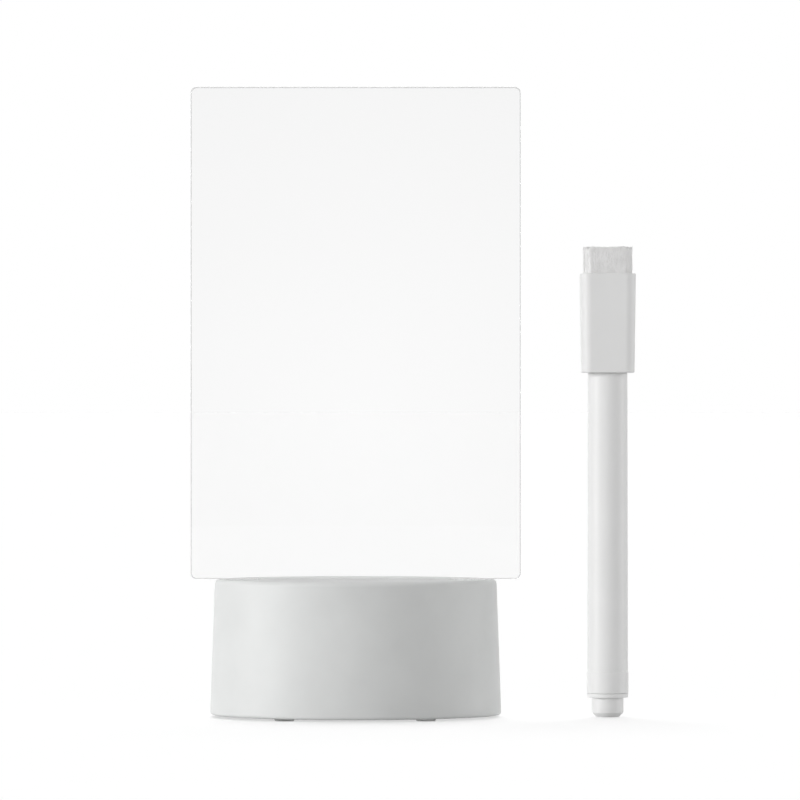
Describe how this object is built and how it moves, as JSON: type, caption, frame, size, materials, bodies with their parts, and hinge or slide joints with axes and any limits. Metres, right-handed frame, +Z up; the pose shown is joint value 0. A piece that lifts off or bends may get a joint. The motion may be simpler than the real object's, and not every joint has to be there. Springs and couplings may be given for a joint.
{
  "type": "led writing board",
  "caption": "Desk writing board: a clear upright plate slotted into a lit oval battery base with a rear slide switch, and a dry-wipe marker with an eraser cap.",
  "frame": {"origin": "on the desk surface, under the centre of the oval base", "axes": "+Z up along the board, +X to the right and -Y towards the reader of the board"},
  "size_m": [0.1144, 0.06, 0.1622],
  "materials": {
    "shell_plastic": "satin moulded, fine spark texture",
    "plate_plastic": "satin moulded",
    "clear_board": "clear cast acrylic, polished faces, laser-cut edges",
    "circuit_board": "white solder mask",
    "screw_steel": "zinc plated",
    "contact_steel": "nickel plated",
    "switch_body": "moulded",
    "switch_knob": "moulded",
    "lead_red": "insulated wire",
    "lead_black": "insulated wire",
    "led_white": "phosphor lens in a white body",
    "resistor": "chip resistor",
    "cell_wrap": "plain shrink wrap",
    "foot_rubber": "translucent rubber",
    "marker_plastic": "smooth moulded",
    "marker_nib": "pressed fibre, inked",
    "ink_fibre": "wrapped fibre, inked",
    "eraser_felt": "short-pile felt"
  },
  "bodies": {
    "base": {"base_shell": "shell_plastic", "bottom_plate": "plate_plastic", "led_circuit_board": "circuit_board", "led_board_screws": "screw_steel", "housing_screws": "screw_steel", "switch_frame": "contact_steel", "switch_housing": "switch_body", "switch_terminals": "contact_steel", "contact_positive": "contact_steel", "contact_negative": "contact_steel", "contact_bridge_left": "contact_steel", "contact_bridge_right": "contact_steel", "lead_positive": "lead_red", "lead_switched": "lead_red", "lead_negative": "lead_black", "aaa_cell_1": "cell_wrap", "aaa_cell_2": "cell_wrap", "aaa_cell_3": "cell_wrap", "led_1": "led_white", "resistor_1": "resistor", "led_2": "led_white", "resistor_2": "resistor", "led_3": "led_white", "resistor_3": "resistor", "led_4": "led_white", "resistor_4": "resistor", "led_5": "led_white", "resistor_5": "resistor", "rubber_foot_1": "foot_rubber", "rubber_foot_2": "foot_rubber", "rubber_foot_3": "foot_rubber", "rubber_foot_4": "foot_rubber"},
    "board": {"writing_board": "clear_board"},
    "switch": {"switch_knob": "switch_knob"},
    "door": {"battery_door": "plate_plastic"},
    "marker": {"marker_end_plug": "marker_plastic", "marker_barrel": "marker_plastic", "nib_holder": "marker_plastic", "marker_nib": "marker_nib", "ink_reservoir": "ink_fibre"},
    "cap": {"marker_cap": "marker_plastic", "eraser_pad": "eraser_felt"}
  },
  "joints": [
    {"name": "board_lift", "type": "slide", "parent": "base", "child": "board", "axis": [0, 0, 1], "range_m": [0, 0.03]},
    {"name": "switch_slide", "type": "slide", "parent": "base", "child": "switch", "axis": [1, 0, 0], "range_m": [0, 0.0022]},
    {"name": "battery_door_hinge", "type": "hinge", "parent": "base", "child": "door", "pos_m": [0, -0.0169, 0.0008], "axis": [-1, 0, 0], "range_deg": [0, 80]},
    {"name": "marker_lift", "type": "slide", "parent": "base", "child": "marker", "axis": [0, 0, 1], "range_m": [0, 0.15]},
    {"name": "cap_pull", "type": "slide", "parent": "marker", "child": "cap", "axis": [0, 0, 1], "range_m": [0, 0.022]}
  ]
}
